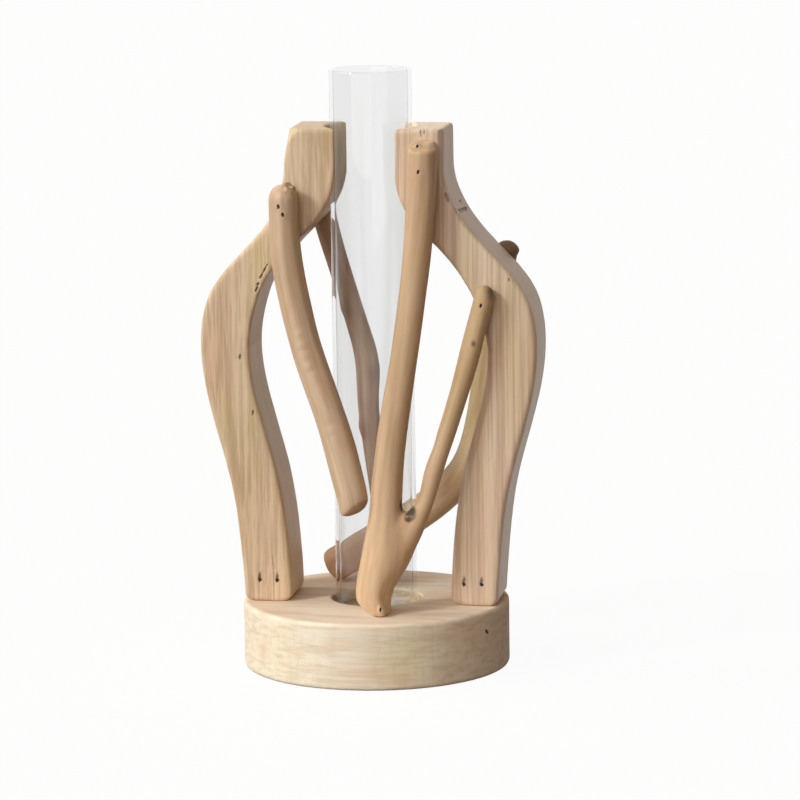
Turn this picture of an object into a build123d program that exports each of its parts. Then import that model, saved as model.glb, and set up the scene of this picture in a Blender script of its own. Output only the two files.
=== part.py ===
"""Test tube vase.

A round wooden base carries two curved wooden boards, mirrored left and right.
A glass tube stands in a shallow recess in the base, between the necks of the boards.
Four natural twigs are nailed on with small brads: two in front, two behind.
Millimetres, +Z up, origin in the middle of the underside of the base.
The front of the vase looks along -Y, and the boards stand in the XZ plane.
"""
import os
from bisect import bisect
from math import cos, radians, sin, sqrt

from build123d import *

# Glass tube
tube_diameter = 30.0
tube_length = 200.0
glass_wall = 1.6
glass_floor = 2.6
heel_radius = 4.0

# Room round the tube, in the base and between the necks
seat_clearance = 1.5

# Base
base_diameter = 98.0
base_thickness = 24.5
base_edge_round = 1.0
recess_depth = 4.5

# Boards: heights count from the top of the base, reaches from the tube's axis
board_thickness = 26.0
board_height = 175.0
neck_gap = 21.4
neck_width = 17.8
neck_length = 14.0
belly_height = 95.0
belly_reach = 62.2
belly_width = 18.2
foot_reach = 47.1
foot_width = 17.6
foot_corner = 3.0
neck_corner = 1.2
neck_inner_corner = 1.5
board_edge_round = 0.9

# Brads
brad_diameter = 1.2
brad_head_diameter = 1.8
brad_head_height = 0.7
brad_point = 1.6
brad_length = 20.0
brad_sink = 0.8
brad_room = 0.1
toe_angle = 62.0
toe_height = 9.3
toe_shares = (0.30, 0.67)

# Twigs: depth of the flat where a round twig is seated, and the step between its sections
seat_flat = 0.5
section_step = 8.0

# Worked out from the sizes above
tube_radius = tube_diameter / 2
bore_radius = tube_radius + seat_clearance
base_radius = base_diameter / 2
front_face = -board_thickness / 2
back_face = board_thickness / 2
neck_inner = neck_gap / 2
neck_outer = neck_inner + neck_width
belly_inner = belly_reach - belly_width
foot_inner = foot_reach - foot_width
neck_foot_height = board_height - neck_length

# Swing of a board's edge as shares of the way down and the way across:
# from the neck down to the belly, and from the belly down to the foot
outer_shoulder = ((0.27, 0.185), (0.50, 0.57), (0.70, 0.88))
inner_shoulder = ((0.22, 0.12), (0.42, 0.46), (0.63, 0.80), (0.85, 0.96))
outer_leg = ((0.28, 0.28), (0.55, 0.72), (0.84, 0.945))
inner_leg = ((0.32, 0.36), (0.55, 0.74), (0.82, 0.95))


def between(start, end, share):
    """Value at a share of the way from start to end."""
    return start + (end - start) * share


def board_edge(neck, belly, foot, shoulder, leg):
    """Points of one edge of a board, as reach and height, from the neck's foot to the base."""
    upper = [
        (between(neck, belly, across), between(neck_foot_height, belly_height, down))
        for down, across in shoulder
    ]
    lower = [
        (between(belly, foot, across), between(belly_height, 0, down))
        for down, across in leg
    ]
    return [(neck, neck_foot_height)] + upper + [(belly, belly_height)] + lower + [(foot, 0)]


inner_edge = board_edge(neck_inner, belly_inner, foot_inner, inner_shoulder, inner_leg)
outer_edge = board_edge(neck_outer, belly_reach, foot_reach, outer_shoulder, outer_leg)


def reach_at(edge, height):
    """Reach of a board's edge at a height above the base."""
    if height >= neck_foot_height:
        return edge[0][0]
    for (upper_reach, upper_height), (lower_reach, lower_height) in zip(edge, edge[1:]):
        if height >= lower_height:
            share = (upper_height - height) / (upper_height - lower_height)
            return between(upper_reach, lower_reach, share)
    return edge[-1][0]


def across_board(height, share):
    """Reach at a share of the way across a board, from its inner edge, at a height."""
    return between(reach_at(inner_edge, height), reach_at(outer_edge, height), share)


def at(reach, depth, height):
    """Point given by reach, depth and height above the base."""
    return Vector(reach, depth, base_thickness + height)


def twig_axis(top, foot, side_bow, depth_bow, shape):
    """Axis of a twig as points with radii.

    Each line of the shape gives a share of the way from top to foot, the shares of the twig's
    bows to the side and in depth there, and its radius.
    """
    return [
        (top + (foot - top) * share + Vector(side * side_bow, depth * depth_bow, 0), radius)
        for share, side, depth, radius in shape
    ]


def axis_at(axis, level):
    """Point and radius of a twig's axis at a level above the ground."""
    for (upper, upper_radius), (lower, lower_radius) in zip(axis, axis[1:]):
        if upper.Z >= level >= lower.Z:
            share = (upper.Z - level) / (upper.Z - lower.Z)
            return upper + (lower - upper) * share, between(upper_radius, lower_radius, share)
    return axis[-1]


def twig_sections(axis):
    """Planes square to a twig's smooth axis at even steps, each with the twig's radius there."""
    points = [point for point, radius in axis]
    curve = Spline(*points)
    places = [curve.param_at_point(point) for point in points]
    count = round(curve.length / section_step)
    sections = []
    for step in range(count + 1):
        place = step / count
        span = min(bisect(places, place), len(places) - 1) - 1
        share = (place - places[span]) / (places[span + 1] - places[span])
        radius = between(axis[span][1], axis[span + 1][1], share)
        plane = Plane(
            origin=curve.position_at(place), x_dir=(0, 1, 0), z_dir=curve.tangent_at(place)
        )
        sections.append((plane, radius))
    return sections


def slanted(angle, way):
    """Direction towards the back (way 1) or the front (way -1), at an angle below the level."""
    return Vector(0, way * cos(radians(angle)), -sin(radians(angle)))


def brad_place(mark, drive):
    """Plane of a brad's head, sunk below its mark on the surface, pointing into the wood."""
    return Plane(origin=mark + drive * brad_sink, z_dir=drive)


def twig_brad(axis, level, side, angle, way):
    """Brad driven into a twig's rounded surface at a level, some way to the side of its axis."""
    centre, radius = axis_at(axis, level)
    rise = sqrt(radius**2 - side**2)
    return brad_place(centre + Vector(side, -way * rise, 0), slanted(angle, way))


def toe_brads(side):
    """Brads driven slantwise through a board's foot into the base, from the front and the back."""
    marks = [side * between(foot_inner, foot_reach, share) for share in toe_shares]
    return [
        brad_place(at(mark, way * front_face, toe_height), slanted(toe_angle, way))
        for way in (1, -1)
        for mark in marks
    ]


# Forked twig in front of the right board: a trunk on the base, a stem and a limb
stem_radius = 5.4
stem_side_bow = 1.8
stem_depth_bow = 3.0
stem_top_drop = 5.6
stem_top_share = 0.63
stem_end_slope = 19.0
trunk_radius = 8.2
trunk_foot_side = 4.5
trunk_foot_setback = 19.4
trunk_foot_sink = 1.6
foot_bevel = 45.0
limb_radius = 3.5
limb_side_bow = 5.4
limb_depth_bow = 2.5
limb_top_rise = 22.7
limb_top_share = 0.365
limb_root_height = 13.0

stem_top_height = board_height - stem_top_drop
stem_top = at(
    across_board(stem_top_height, stem_top_share),
    front_face - stem_radius + seat_flat,
    stem_top_height,
)
trunk_foot = at(trunk_foot_side, trunk_foot_setback - base_radius, -trunk_foot_sink)
stem_axis = twig_axis(
    stem_top,
    trunk_foot,
    stem_side_bow,
    stem_depth_bow,
    (
        (-0.02, 0.00, 0.00, stem_radius),
        (0.08, 0.55, 0.20, stem_radius),
        (0.20, 1.00, 0.47, stem_radius * 0.96),
        (0.33, 0.83, 0.77, stem_radius * 0.95),
        (0.46, 0.33, 0.93, stem_radius * 0.96),
        (0.57, -0.33, 1.00, stem_radius),
        (0.67, -0.50, 0.93, stem_radius * 1.04),
        (0.77, -0.22, 0.83, stem_radius * 1.12),
        (0.85, 0.11, 0.67, trunk_radius * 0.92),
        (0.92, 0.00, 0.33, trunk_radius),
        (1.00, 0.00, 0.00, trunk_radius * 0.90),
    ),
)
limb_top_height = belly_height + limb_top_rise
limb_top = at(
    across_board(limb_top_height, limb_top_share),
    front_face - limb_radius + seat_flat,
    limb_top_height,
)
limb_root, trunk_size = axis_at(stem_axis, base_thickness + limb_root_height)
limb_axis = twig_axis(
    limb_top,
    limb_root,
    limb_side_bow,
    limb_depth_bow,
    (
        (0.00, 0.00, 0.00, limb_radius * 0.90),
        (0.08, 0.15, 0.24, limb_radius),
        (0.24, 0.52, 0.64, limb_radius * 1.05),
        (0.40, 0.77, 0.88, limb_radius),
        (0.55, 0.92, 1.00, limb_radius),
        (0.67, 1.07, 0.92, limb_radius * 1.01),
        (0.74, 1.18, 0.80, limb_radius),
        (0.81, 0.95, 0.64, limb_radius * 1.38),
        (0.90, 0.52, 0.36, trunk_size * 0.76),
        (1.00, 0.00, 0.00, trunk_size * 0.90),
    ),
)

# Left twig, from the left board's neck down to the stem of the forked twig
left_twig_radius = 5.6
left_twig_side_bow = 5.1
left_twig_depth_bow = 1.9
left_twig_top_drop = 20.8
left_twig_top_share = 0.91
left_twig_foot_height = 34.5
left_touch_height = 41.5

left_twig_top_height = board_height - left_twig_top_drop
stem_touch, stem_touch_radius = axis_at(stem_axis, base_thickness + left_touch_height)
left_twig_top = at(
    -across_board(left_twig_top_height, left_twig_top_share),
    front_face - left_twig_radius + seat_flat,
    left_twig_top_height,
)
left_twig_foot = at(
    stem_touch.X - stem_touch_radius - left_twig_radius - seat_flat,
    stem_touch.Y,
    left_twig_foot_height,
)
left_twig_axis = twig_axis(
    left_twig_top,
    left_twig_foot,
    left_twig_side_bow,
    left_twig_depth_bow,
    (
        (0.00, 0.00, 0.00, left_twig_radius * 0.93),
        (0.10, -0.49, 0.37, left_twig_radius * 0.97),
        (0.22, -0.90, 0.58, left_twig_radius * 1.02),
        (0.36, -1.00, 0.84, left_twig_radius),
        (0.50, -0.88, 1.00, left_twig_radius * 1.01),
        (0.63, -0.46, 0.95, left_twig_radius * 1.05),
        (0.77, -0.06, 0.63, left_twig_radius * 1.03),
        (0.88, 0.12, 0.21, left_twig_radius * 1.03),
        (0.94, 0.20, 0.05, left_twig_radius * 1.02),
        (1.00, 0.04, 0.00, left_twig_radius * 0.95),
    ),
)

# Right twig behind the boards: up the right board's back, bent down to the left onto the base
back_right_radius = 6.2
back_right_tip_radius = 4.0
back_right_side_bow = 30.6
back_right_depth_bow = 6.0
back_right_top_rise = 35.0
back_right_top_share = 1.11
back_right_foot_setback = 11.6
back_right_foot_angle = 126.7
back_right_foot_lift = 4.9

back_right_top_height = belly_height + back_right_top_rise
back_right_top = at(
    across_board(back_right_top_height, back_right_top_share),
    back_face + back_right_tip_radius - seat_flat,
    back_right_top_height,
)
back_right_foot = at(
    (base_radius - back_right_foot_setback) * cos(radians(back_right_foot_angle)),
    (base_radius - back_right_foot_setback) * sin(radians(back_right_foot_angle)),
    back_right_foot_lift,
)
back_right_axis = twig_axis(
    back_right_top,
    back_right_foot,
    back_right_side_bow,
    back_right_depth_bow,
    (
        (0.00, 0.00, 0.00, back_right_tip_radius),
        (0.17, 0.24, -0.28, back_right_tip_radius * 1.12),
        (0.38, 0.59, -0.65, back_right_radius * 0.84),
        (0.55, 0.88, -0.90, back_right_radius * 0.92),
        (0.67, 1.00, -1.00, back_right_radius * 0.97),
        (0.75, 0.92, -0.92, back_right_radius),
        (0.82, 0.73, -0.73, back_right_radius),
        (0.88, 0.50, -0.53, back_right_radius),
        (0.94, 0.26, -0.30, back_right_radius * 1.03),
        (1.00, 0.00, 0.00, back_right_radius * 1.02),
    ),
)

# Left twig behind the boards, from the left neck down onto the other twig behind
back_left_radius = 4.2
back_left_side_bow = 6.4
back_left_depth_bow = 1.2
back_left_top_drop = 18.5
back_left_top_share = 0.75
back_left_rest_height = 18.0

back_left_top_height = board_height - back_left_top_drop
back_left_top = at(
    -across_board(back_left_top_height, back_left_top_share),
    back_face + back_left_radius - seat_flat,
    back_left_top_height,
)
back_left_foot = axis_at(back_right_axis, base_thickness + back_left_rest_height)[0]
back_left_axis = twig_axis(
    back_left_top,
    back_left_foot,
    back_left_side_bow,
    back_left_depth_bow,
    (
        (0.00, 0.00, 0.00, back_left_radius * 0.95),
        (0.15, 0.30, -1.00, back_left_radius),
        (0.30, 0.64, -0.67, back_left_radius * 0.95),
        (0.42, 0.92, -0.17, back_left_radius),
        (0.53, 1.02, 0.25, back_left_radius * 1.05),
        (0.61, 0.72, 0.33, back_left_radius * 0.98),
        (0.71, 0.47, 0.50, back_left_radius * 0.95),
        (0.82, 0.36, 0.75, back_left_radius * 0.95),
        (1.00, 0.00, 0.00, back_left_radius),
    ),
)

# Brads in the twigs: drop below a twig's top, pitch to the next one, offset to the side
left_twig_brad_drop = 6.5
left_twig_brad_pitch = 3.1
left_twig_brad_side = 0.8
stem_brad_drop = 8.8
stem_brad_side = -0.5
limb_brad_drop = 5.7
back_left_brad_drop = 4.0
back_left_brad_pitch = 7.0
back_right_brad_drop = 8.0
back_right_brad_pitch = 6.0

# Brad in the stem's end: offsets from the middle of the end, and its slant
end_brad_side = -1.6
end_brad_front = 1.2
end_brad_angle = 25.0

# Brad through the trunk's foot into the base
trunk_brad_height = 3.6
trunk_brad_side = 3.0

left_board_places = toe_brads(-1)
right_board_places = toe_brads(1)
left_twig_places = [
    twig_brad(left_twig_axis, left_twig_top.Z - drop, side, 0, 1)
    for drop, side in (
        (left_twig_brad_drop, -left_twig_brad_side),
        (left_twig_brad_drop + left_twig_brad_pitch, left_twig_brad_side),
    )
]
end_mark = stem_top + Vector(end_brad_side, -end_brad_front, 0)
stem_places = [
    twig_brad(stem_axis, stem_top.Z - stem_brad_drop, stem_brad_side, 0, 1),
    brad_place(end_mark, slanted(end_brad_angle, 1)),
]
limb_place = twig_brad(limb_axis, limb_top.Z - limb_brad_drop, 0, 0, 1)
trunk_place = twig_brad(
    stem_axis, base_thickness + trunk_brad_height, trunk_brad_side, toe_angle, 1
)
forked_twig_places = stem_places + [limb_place, trunk_place]
back_left_places = [
    twig_brad(back_left_axis, back_left_top.Z - back_left_brad_drop - step, 0, 0, -1)
    for step in (0, back_left_brad_pitch)
]
back_right_places = [
    twig_brad(back_right_axis, back_right_top.Z - back_right_brad_drop - step, 0, 0, -1)
    for step in (0, back_right_brad_pitch)
]


def brad_outline(room, mouth):
    """Half outline of a brad along Z, grown by some room, with its head raised to a mouth."""
    shank = brad_diameter / 2 + room
    head = brad_head_diameter / 2 + room
    return [
        (0, -mouth),
        (head, -mouth),
        (head, brad_head_height + room),
        (shank, brad_head_height + room),
        (shank, brad_length - brad_point),
        (0, brad_length + room),
        (0, -mouth),
    ]


with BuildPart() as brad:
    with BuildSketch(Plane.XZ):
        with BuildLine():
            Polyline(*brad_outline(0, 0))
        make_face()
    revolve(axis=Axis.Z)

# Hole for a brad, open from its head up to and past the surface
hole_mouth = brad_sink + trunk_radius
with BuildPart() as brad_hole:
    with BuildSketch(Plane.XZ):
        with BuildLine():
            Polyline(*brad_outline(brad_room, hole_mouth))
        make_face()
    revolve(axis=Axis.Z)


with BuildPart() as base_disc:
    Cylinder(base_radius, base_thickness, align=(Align.CENTER, Align.CENTER, Align.MIN))
    fillet(base_disc.edges().filter_by(GeomType.CIRCLE), base_edge_round)
    with BuildSketch(Plane.XY.offset(base_thickness)):
        Circle(bore_radius)
    extrude(amount=-recess_depth, mode=Mode.SUBTRACT)
    with Locations(*left_board_places, *right_board_places, trunk_place):
        add(brad_hole.part, mode=Mode.SUBTRACT)

# Board on the right, before its brad holes; the left one is its mirror image
board_plane = Plane(origin=(0, 0, base_thickness), x_dir=(1, 0, 0), z_dir=(0, -1, 0))
downwards = (0, -1)
with BuildPart() as board_blank:
    with BuildSketch(board_plane) as board_sketch:
        with BuildLine():
            Line((neck_inner, board_height), (neck_outer, board_height))
            Line((neck_outer, board_height), outer_edge[0])
            Spline(*outer_edge, tangents=(downwards, downwards), tangent_scalars=(1, 1))
            Line(outer_edge[-1], inner_edge[-1])
            Spline(*inner_edge, tangents=(downwards, downwards), tangent_scalars=(1, 1))
            Line(inner_edge[0], (neck_inner, board_height))
        make_face()
        foot_points = board_sketch.vertices().group_by(Axis.Y)[0]
        fillet(foot_points, foot_corner)
        neck_points = board_sketch.vertices().group_by(Axis.Y)[-1].sort_by(Axis.X)
        fillet(neck_points[-1], neck_corner)
        fillet(neck_points[0], neck_inner_corner)
    extrude(amount=board_thickness / 2, both=True)
    outline_edges = board_blank.faces().filter_by(Axis.Y).edges()
    fillet(outline_edges, board_edge_round)
    with Locations((0, 0, base_thickness)):
        Cylinder(
            bore_radius,
            board_height,
            align=(Align.CENTER, Align.CENTER, Align.MIN),
            mode=Mode.SUBTRACT,
        )

with BuildPart() as left_board:
    mirror(board_blank.part, about=Plane.YZ)
    with Locations(*left_board_places, *left_twig_places, *back_left_places):
        add(brad_hole.part, mode=Mode.SUBTRACT)

with BuildPart() as right_board:
    add(board_blank.part)
    with Locations(*right_board_places, *stem_places, limb_place, *back_right_places):
        add(brad_hole.part, mode=Mode.SUBTRACT)

# Tube with a flat bottom, a round heel and a fire-polished rim
tube_foot = base_thickness - recess_depth
tube_rim = tube_foot + tube_length
inside_radius = tube_radius - glass_wall
inside_heel = heel_radius - glass_wall / 2
inside_floor = tube_foot + glass_floor
rim_centre = tube_rim - glass_wall / 2
with BuildPart() as test_tube:
    with BuildSketch(Plane.XZ):
        with BuildLine():
            Line((0, tube_foot), (tube_radius - heel_radius, tube_foot))
            RadiusArc(
                (tube_radius - heel_radius, tube_foot),
                (tube_radius, tube_foot + heel_radius),
                -heel_radius,
            )
            Line((tube_radius, tube_foot + heel_radius), (tube_radius, rim_centre))
            ThreePointArc(
                (tube_radius, rim_centre),
                (tube_radius - glass_wall / 2, tube_rim),
                (inside_radius, rim_centre),
            )
            Line((inside_radius, rim_centre), (inside_radius, inside_floor + inside_heel))
            RadiusArc(
                (inside_radius, inside_floor + inside_heel),
                (inside_radius - inside_heel, inside_floor),
                inside_heel,
            )
            Line((inside_radius - inside_heel, inside_floor), (0, inside_floor))
            Line((0, inside_floor), (0, tube_foot))
        make_face()
    revolve(axis=Axis.Z)

# Block in the place of the boards and the base, which cuts the twigs flat where they are seated
with BuildPart() as seat_block:
    with Locations((0, 0, base_thickness)):
        Box(
            2 * belly_reach,
            board_thickness,
            board_height,
            align=(Align.CENTER, Align.CENTER, Align.MIN),
        )
        Box(
            base_diameter,
            base_diameter,
            base_thickness,
            align=(Align.CENTER, Align.CENTER, Align.MAX),
        )

# Waste sawn off the forked twig: above the stem's sloping end, and under the foot's left side
saw_reach = 4 * trunk_radius
stem_cut = Plane(
    origin=stem_top,
    x_dir=(1, 0, 0),
    z_dir=(0, -sin(radians(stem_end_slope)), cos(radians(stem_end_slope))),
)
foot_cut = Plane(
    origin=at(trunk_foot.X, trunk_foot.Y, 0),
    x_dir=(0, 1, 0),
    z_dir=(-sin(radians(foot_bevel)), 0, -cos(radians(foot_bevel))),
)
with BuildPart() as saw_block:
    with Locations(stem_cut, foot_cut):
        Box(saw_reach, saw_reach, saw_reach, align=(Align.CENTER, Align.CENTER, Align.MIN))

with BuildPart() as limb:
    for section_plane, section_radius in twig_sections(limb_axis):
        with BuildSketch(section_plane):
            Circle(section_radius)
    loft()

with BuildPart() as forked_twig:
    for section_plane, section_radius in twig_sections(stem_axis):
        with BuildSketch(section_plane):
            Circle(section_radius)
    loft()
    add(limb.part)
    add(seat_block.part, mode=Mode.SUBTRACT)
    add(saw_block.part, mode=Mode.SUBTRACT)
    with Locations(*forked_twig_places):
        add(brad_hole.part, mode=Mode.SUBTRACT)

with BuildPart() as left_twig:
    for section_plane, section_radius in twig_sections(left_twig_axis):
        with BuildSketch(section_plane):
            Circle(section_radius)
    loft()
    add(seat_block.part, mode=Mode.SUBTRACT)
    add(forked_twig.part, mode=Mode.SUBTRACT)
    with Locations(*left_twig_places):
        add(brad_hole.part, mode=Mode.SUBTRACT)

with BuildPart() as back_right_twig:
    for section_plane, section_radius in twig_sections(back_right_axis):
        with BuildSketch(section_plane):
            Circle(section_radius)
    loft()
    add(seat_block.part, mode=Mode.SUBTRACT)
    with Locations(*back_right_places):
        add(brad_hole.part, mode=Mode.SUBTRACT)

with BuildPart() as back_left_twig:
    for section_plane, section_radius in twig_sections(back_left_axis):
        with BuildSketch(section_plane):
            Circle(section_radius)
    loft()
    add(seat_block.part, mode=Mode.SUBTRACT)
    add(back_right_twig.part, mode=Mode.SUBTRACT)
    with Locations(*back_left_places):
        add(brad_hole.part, mode=Mode.SUBTRACT)

with BuildPart() as left_board_brads:
    with Locations(*left_board_places):
        add(brad.part)

with BuildPart() as right_board_brads:
    with Locations(*right_board_places):
        add(brad.part)

with BuildPart() as left_twig_brads:
    with Locations(*left_twig_places):
        add(brad.part)

with BuildPart() as forked_twig_brads:
    with Locations(*forked_twig_places):
        add(brad.part)

with BuildPart() as back_left_twig_brads:
    with Locations(*back_left_places):
        add(brad.part)

with BuildPart() as back_right_twig_brads:
    with Locations(*back_right_places):
        add(brad.part)

pieces = {
    "base_disc": base_disc,
    "left_board": left_board,
    "right_board": right_board,
    "test_tube": test_tube,
    "left_twig": left_twig,
    "forked_twig": forked_twig,
    "back_left_twig": back_left_twig,
    "back_right_twig": back_right_twig,
    "left_board_brads": left_board_brads,
    "right_board_brads": right_board_brads,
    "left_twig_brads": left_twig_brads,
    "forked_twig_brads": forked_twig_brads,
    "back_left_twig_brads": back_left_twig_brads,
    "back_right_twig_brads": back_right_twig_brads,
}
os.makedirs("parts", exist_ok=True)
for name, piece in pieces.items():
    piece.part.label = name
    export_step(piece.part, f"parts/{name}.step")
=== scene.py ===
"""Looks of the test tube vase: sawn boards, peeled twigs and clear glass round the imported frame.

Sizes and places are in millimetres unless a name says otherwise; meshes are in metres.
"""
import itertools
import math

import bmesh
import bpy
import numpy as np
from mathutils import Matrix, Vector


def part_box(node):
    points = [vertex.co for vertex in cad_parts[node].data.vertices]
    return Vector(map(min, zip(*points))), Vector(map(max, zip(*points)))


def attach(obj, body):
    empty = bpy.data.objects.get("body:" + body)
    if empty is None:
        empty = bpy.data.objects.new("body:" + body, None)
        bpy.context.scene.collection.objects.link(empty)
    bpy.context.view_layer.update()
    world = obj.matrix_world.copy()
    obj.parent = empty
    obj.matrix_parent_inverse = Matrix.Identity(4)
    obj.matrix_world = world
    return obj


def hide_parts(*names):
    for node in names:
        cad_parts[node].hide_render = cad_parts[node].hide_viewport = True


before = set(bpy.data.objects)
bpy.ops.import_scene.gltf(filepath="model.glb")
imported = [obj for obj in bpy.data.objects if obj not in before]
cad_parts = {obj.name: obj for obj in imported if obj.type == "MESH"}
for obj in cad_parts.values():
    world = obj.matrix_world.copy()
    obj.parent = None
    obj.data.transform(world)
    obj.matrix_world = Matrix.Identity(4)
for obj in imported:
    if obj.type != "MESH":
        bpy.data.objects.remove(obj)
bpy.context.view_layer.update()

MM = 0.001

# Camera: it stands in front, a little to the right and above
CAMERA_TARGET_HEIGHT = 112.1
CAMERA_DISTANCE = 1630.4
CAMERA_AZIMUTH = 10.12
CAMERA_ELEVATION = 9.07
CAMERA_ROLL = -0.73
CAMERA_SIDESTEP = 0.4
CAMERA_SENSOR = 36.0
CAMERA_LENS = 200.2
AIM_RIGHT = 9.24
AIM_DOWN = 13.75
CAMERA_CLIP_METRES = 100.0
GLASS_BOUNCES = 32
GLOSSY_BOUNCES = 16

# Lamps: azimuth from the front, elevation, strength, spread and colour
LAMPS = {
    "key": (-48.0, 33.0, 1.65, 13.0, (0.92, 0.98, 0.96)),
    "left": (-90.0, 36.0, 1.00, 30.0, (1.0, 0.95, 0.88)),
    "front": (-17.0, 14.0, 1.55, 60.0, (1.0, 0.93, 0.86)),
}
FILL_COLOUR = (1.0, 0.70, 0.47, 1)
FILL_STRENGTH = 0.22
FLOOR_HALF_METRES = 30.0
FLOOR_WHITE = 0.95
FLOOR_SEEN = (0.95, 0.95, 0.95, 1)
FLOOR_BOUNCE = (0.14, 0.10, 0.07, 1)

# Even mesh size of each wooden piece, before its surface is worked
BOARD_VOXEL = 0.6
BASE_VOXEL = 0.7
TWIG_VOXEL = 0.5
SAME_PLACE = 0.001

# Brads: how deep their heads lie, and the plug that closes a brad's hole before its mark is cut
BRAD_SINK = 0.8
PLUG_RADIUS = 1.08
PLUG_DEPTH = 1.6
PLUG_SIDES = 24
BOARD_PLUG_OUT = 2.4

# Marks and cracks: the finer mesh round them, how much their edges are torn and how steep they are
FINE_REACH = 2.4
FINE_CUTS = 3
CRACK_CLEARANCE = 1.2
TEAR_SIZE = (0.45, 0.45, 0.8)
MARK_TEAR = 0.22
MARK_EDGE = (0.70, 1.10)
CRACK_TEAR = 0.24
CRACK_CORE = 0.35

# Working of the wood: one round of softening, round ends as shares of their radius, added balls
SOFTEN_STEP = 0.6
DOME_ONSET = 0.35
DOME_REACH = 2.5
SWELLING_STEP = 0.8
BALL_DIVISIONS = 3
ROUTE_STEPS = 8

# Glass tube
TUBE_WALL = 1.6
TUBE_FLOOR = 2.6
TUBE_HEEL = 4.0
TUBE_TURNS = 160
ARC_STEPS = 10

# Boards
BOARD_FACE = 13.0
FRONT = -BOARD_FACE
BOARD_TOP = 199.5
NECK_OUTSIDE = 28.5
X_AXIS = np.array((1.0, 0.0, 0.0))

# Inner edge of the boards, as reaches at heights, and how far the right one bulges inwards there
INNER_HEIGHTS = (119.5, 129.4, 143.9, 157.8, 171.0, 185.5, 199.5)
INNER_REACHES = (44.0, 42.7, 37.3, 26.0, 14.7, 10.7, 10.7)
INNER_BULGES = (0.0, 0.6, 1.6, 1.6, 1.2, 0.45, 0.45)

# Twigs: points along the middle of each one
STEM_ROUTE = (
    (22.3, -17.7, 197.3), (21.5, -18.2, 180.2), (20.2, -18.8, 159.7), (17.7, -19.5, 137.5),
    (14.5, -20.5, 115.2), (11.4, -21.6, 96.4), (9.3, -22.9, 79.3), (8.1, -24.4, 62.2),
    (7.3, -25.8, 48.6), (5.9, -27.7, 36.6), (4.5, -29.6, 22.9),
)
LIMB_ROUTE = (
    (44.5, -16.0, 142.2), (42.2, -16.3, 133.8), (38.1, -17.2, 117.1), (33.3, -18.4, 100.3),
    (28.3, -19.8, 84.6), (24.5, -21.4, 72.1), (22.4, -22.5, 64.7), (18.4, -23.7, 57.4),
    (12.7, -25.5, 48.0), (6.0, -27.5, 37.5),
)
LEFT_ROUTE = (
    (-29.2, -18.1, 178.7), (-29.2, -18.0, 166.7), (-28.2, -18.3, 152.4), (-25.1, -18.7, 135.6),
    (-20.9, -19.2, 118.8), (-15.5, -20.1, 103.3), (-9.9, -21.5, 86.5), (-6.1, -23.0, 73.4),
    (-4.2, -23.6, 66.2), (-3.5, -24.1, 59.0),
)
BACK_RIGHT_ROUTE = (
    (47.9, 16.5, 154.5), (43.3, 17.1, 133.2), (39.3, 17.7, 107.0), (36.2, 18.5, 85.7),
    (31.4, 19.5, 70.7), (23.4, 21.1, 60.7), (12.6, 23.2, 51.9), (1.4, 25.2, 44.4),
    (-10.2, 27.4, 36.9), (-22.4, 30.0, 29.4),
)
BACK_LEFT_ROUTE = (
    (-25.5, 16.7, 181.0), (-20.0, 16.9, 160.2), (-14.3, 18.6, 139.4), (-9.6, 20.3, 122.8),
    (-6.3, 21.8, 107.6), (-6.3, 22.6, 96.5), (-5.5, 23.7, 82.7), (-3.6, 25.0, 67.4),
    (-1.6, 25.7, 42.5),
)


def link(obj):
    """Puts an object into the scene."""
    bpy.context.scene.collection.objects.link(obj)
    return obj


def unit(vector):
    """A vector of length 1."""
    vector = np.asarray(vector, float)
    return vector / np.linalg.norm(vector)


# Numbers spread over the wood

# Primes that mix a cell's whole numbers with a seed, and the steps that scramble the mix
CELL_PRIMES = (73856093, 19349663, 83492791)
SEED_PRIME = 2654435761
SCRAMBLES = ((15, 2246822519), (13, 3266489917))
LAST_SHIFT = 16
LONG_WORD = 0xFFFFFFFF
SHORT_WORD = 0xFFFF


def hashed(cells, seed):
    """Fixed numbers from -1 to 1 for whole-numbered cells, the same on every run."""
    first, second, third = (cells * np.array(CELL_PRIMES)).T
    mixed = (first ^ second ^ third ^ seed * SEED_PRIME) & LONG_WORD
    for shift, prime in SCRAMBLES:
        mixed = (mixed ^ mixed >> shift) * prime & LONG_WORD
    return ((mixed ^ mixed >> LAST_SHIFT) & SHORT_WORD) / (SHORT_WORD / 2) - 1


def noise(points, size, seed):
    """Smooth noise from -1 to 1 over points, with features of a size along each axis."""
    scaled = points / np.asarray(size, float)
    cells = np.floor(scaled).astype(np.int64)
    part = scaled - cells
    part = part * part * (3 - 2 * part)
    total = np.zeros(len(points))
    for corner in itertools.product((0, 1), repeat=3):
        weight = np.prod(np.where(corner, part, 1 - part), axis=1)
        total += weight * hashed(cells + np.array(corner), seed)
    return total


def ramp(values, low, high):
    """Smooth step from 0 at low to 1 at high."""
    part = np.clip((values - low) / (high - low), 0, 1)
    return part * part * (3 - 2 * part)


def band(values, rise, fall):
    """1 between two slopes, each given by where it starts and ends."""
    return ramp(values, *rise) * (1 - ramp(values, *fall))


def blob(points, place, reach):
    """1 at a place, falling to 0 at a reach along each axis."""
    return 1 - ramp(np.linalg.norm((points - place) / np.asarray(reach, float), axis=1), 0, 1)


def gap_to_line(points, line):
    """Distance of points from a line through several places."""
    places = np.asarray(line, float)
    nearest = np.full(len(points), np.inf)
    for start, end in zip(places, places[1:]):
        span = end - start
        share = np.clip((points - start) @ span / (span @ span), 0, 1)
        nearest = np.minimum(nearest, np.linalg.norm(points - start - share[:, None] * span, axis=1))
    return nearest


# Meshes

def read_rows(items, key, width, kind):
    """What each of a mesh's items keeps under a key, one row each."""
    values = np.empty(len(items) * width, kind)
    items.foreach_get(key, values)
    return values.reshape(-1, width)


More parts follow.
